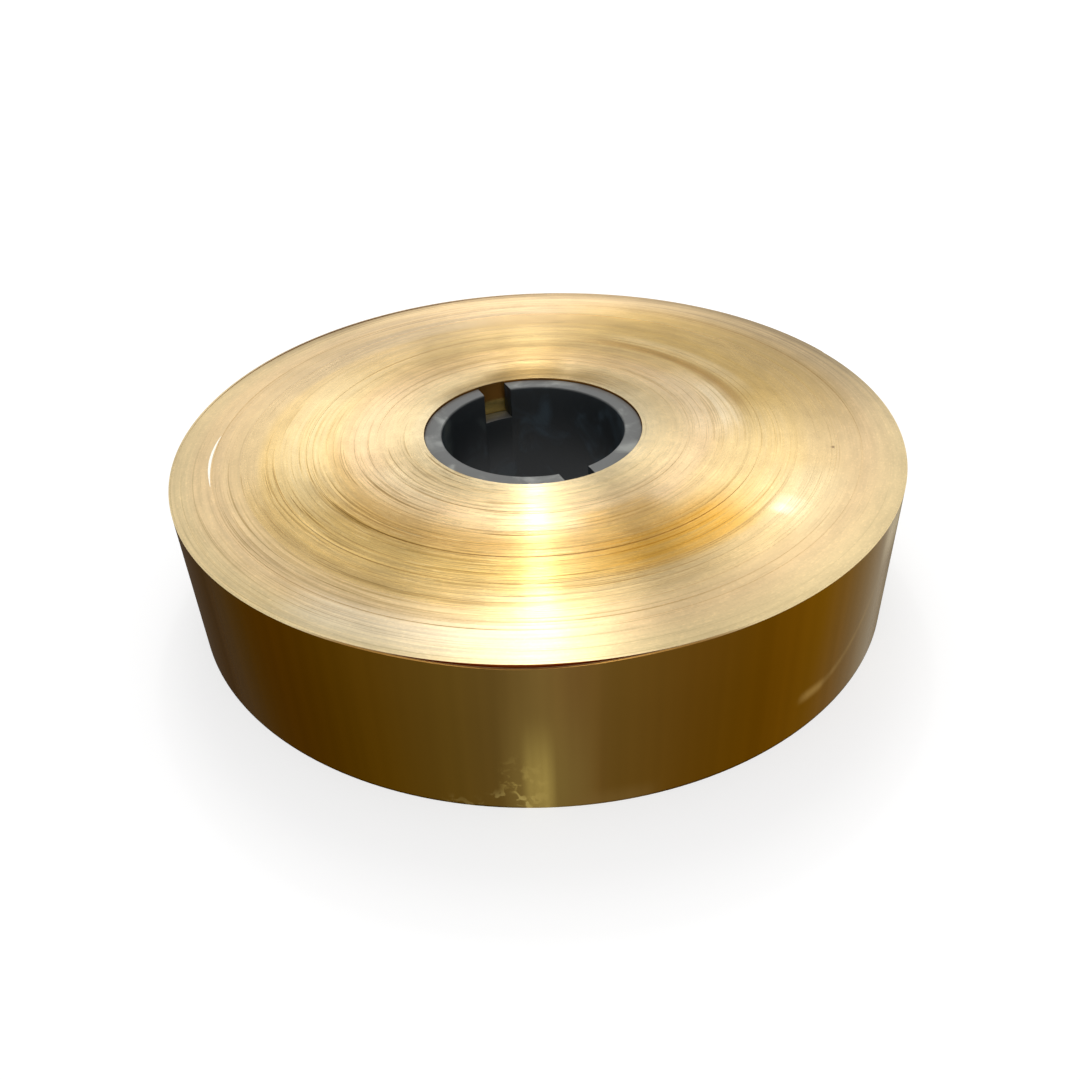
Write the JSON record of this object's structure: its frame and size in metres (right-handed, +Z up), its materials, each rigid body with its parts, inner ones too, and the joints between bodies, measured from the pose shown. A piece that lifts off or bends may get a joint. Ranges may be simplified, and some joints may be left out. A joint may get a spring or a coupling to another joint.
{
  "type": "roll of brass strip",
  "caption": "Flat-lying roll of bright slit brass strip wound on a dark plastic core with key notches, ready to go on a mandrel and feed a press or forming line.",
  "frame": {"origin": "on the roll's axis, at the level of the surface that the roll lies on", "axes": "+Z up along the roll's axis; the core's key notches lie on the +Y and -Y sides of the bore"},
  "size_m": [0.296, 0.2959, 0.0637],
  "materials": {
    "brass_strip": "satin",
    "core_plastic": "matte"
  },
  "bodies": {
    "root": {"strip_roll": "brass_strip", "core": "core_plastic"}
  },
  "joints": []
}
